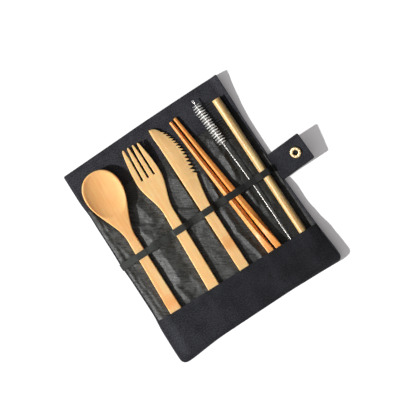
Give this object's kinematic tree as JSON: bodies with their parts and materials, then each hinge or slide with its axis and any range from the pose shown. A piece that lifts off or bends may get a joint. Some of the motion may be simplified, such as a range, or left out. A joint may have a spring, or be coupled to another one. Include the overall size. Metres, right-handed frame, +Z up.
{
  "type": "wooden cutlery pack",
  "caption": "Wooden spoon, fork, toothed knife, chopsticks and drinking straw with a straw brush, under an elastic band in an open cloth wrap with a pocket and a snap tab.",
  "frame": {"origin": "middle of the wrap's flat underside, which lies on the table", "axes": "+X across the wrap towards the closing tab, +Y along the cutlery towards its tips, +Z up off the table"},
  "size_m": [0.2221, 0.2216, 0.018],
  "materials": {
    "canvas": "matt woven canvas, near black",
    "lining_nylon": "thin woven nylon with a soft sheen",
    "elastic_webbing": "ribbed elastic, matt",
    "bamboo": "smooth sanded bamboo, satin",
    "varnished_bamboo": "glossy varnish over bamboo",
    "straw_bamboo": "natural bamboo skin, satin",
    "steel_wire": "bright wire",
    "white_bristle": "translucent nylon bristle",
    "brass": "polished"
  },
  "bodies": {
    "root": {"outer_shell": "canvas", "top_facing": "canvas", "pocket": "canvas", "closing_tab": "canvas", "lining": "lining_nylon", "elastic_band": "elastic_webbing", "snap_socket": "brass", "snap_cap": "brass", "snap_stud": "brass", "snap_stud_plate": "brass", "spoon": "bamboo", "fork": "bamboo", "knife": "bamboo", "left_chopstick": "varnished_bamboo", "right_chopstick": "varnished_bamboo", "straw": "straw_bamboo", "brush_wire": "steel_wire", "brush_bristles": "white_bristle"}
  },
  "joints": []
}
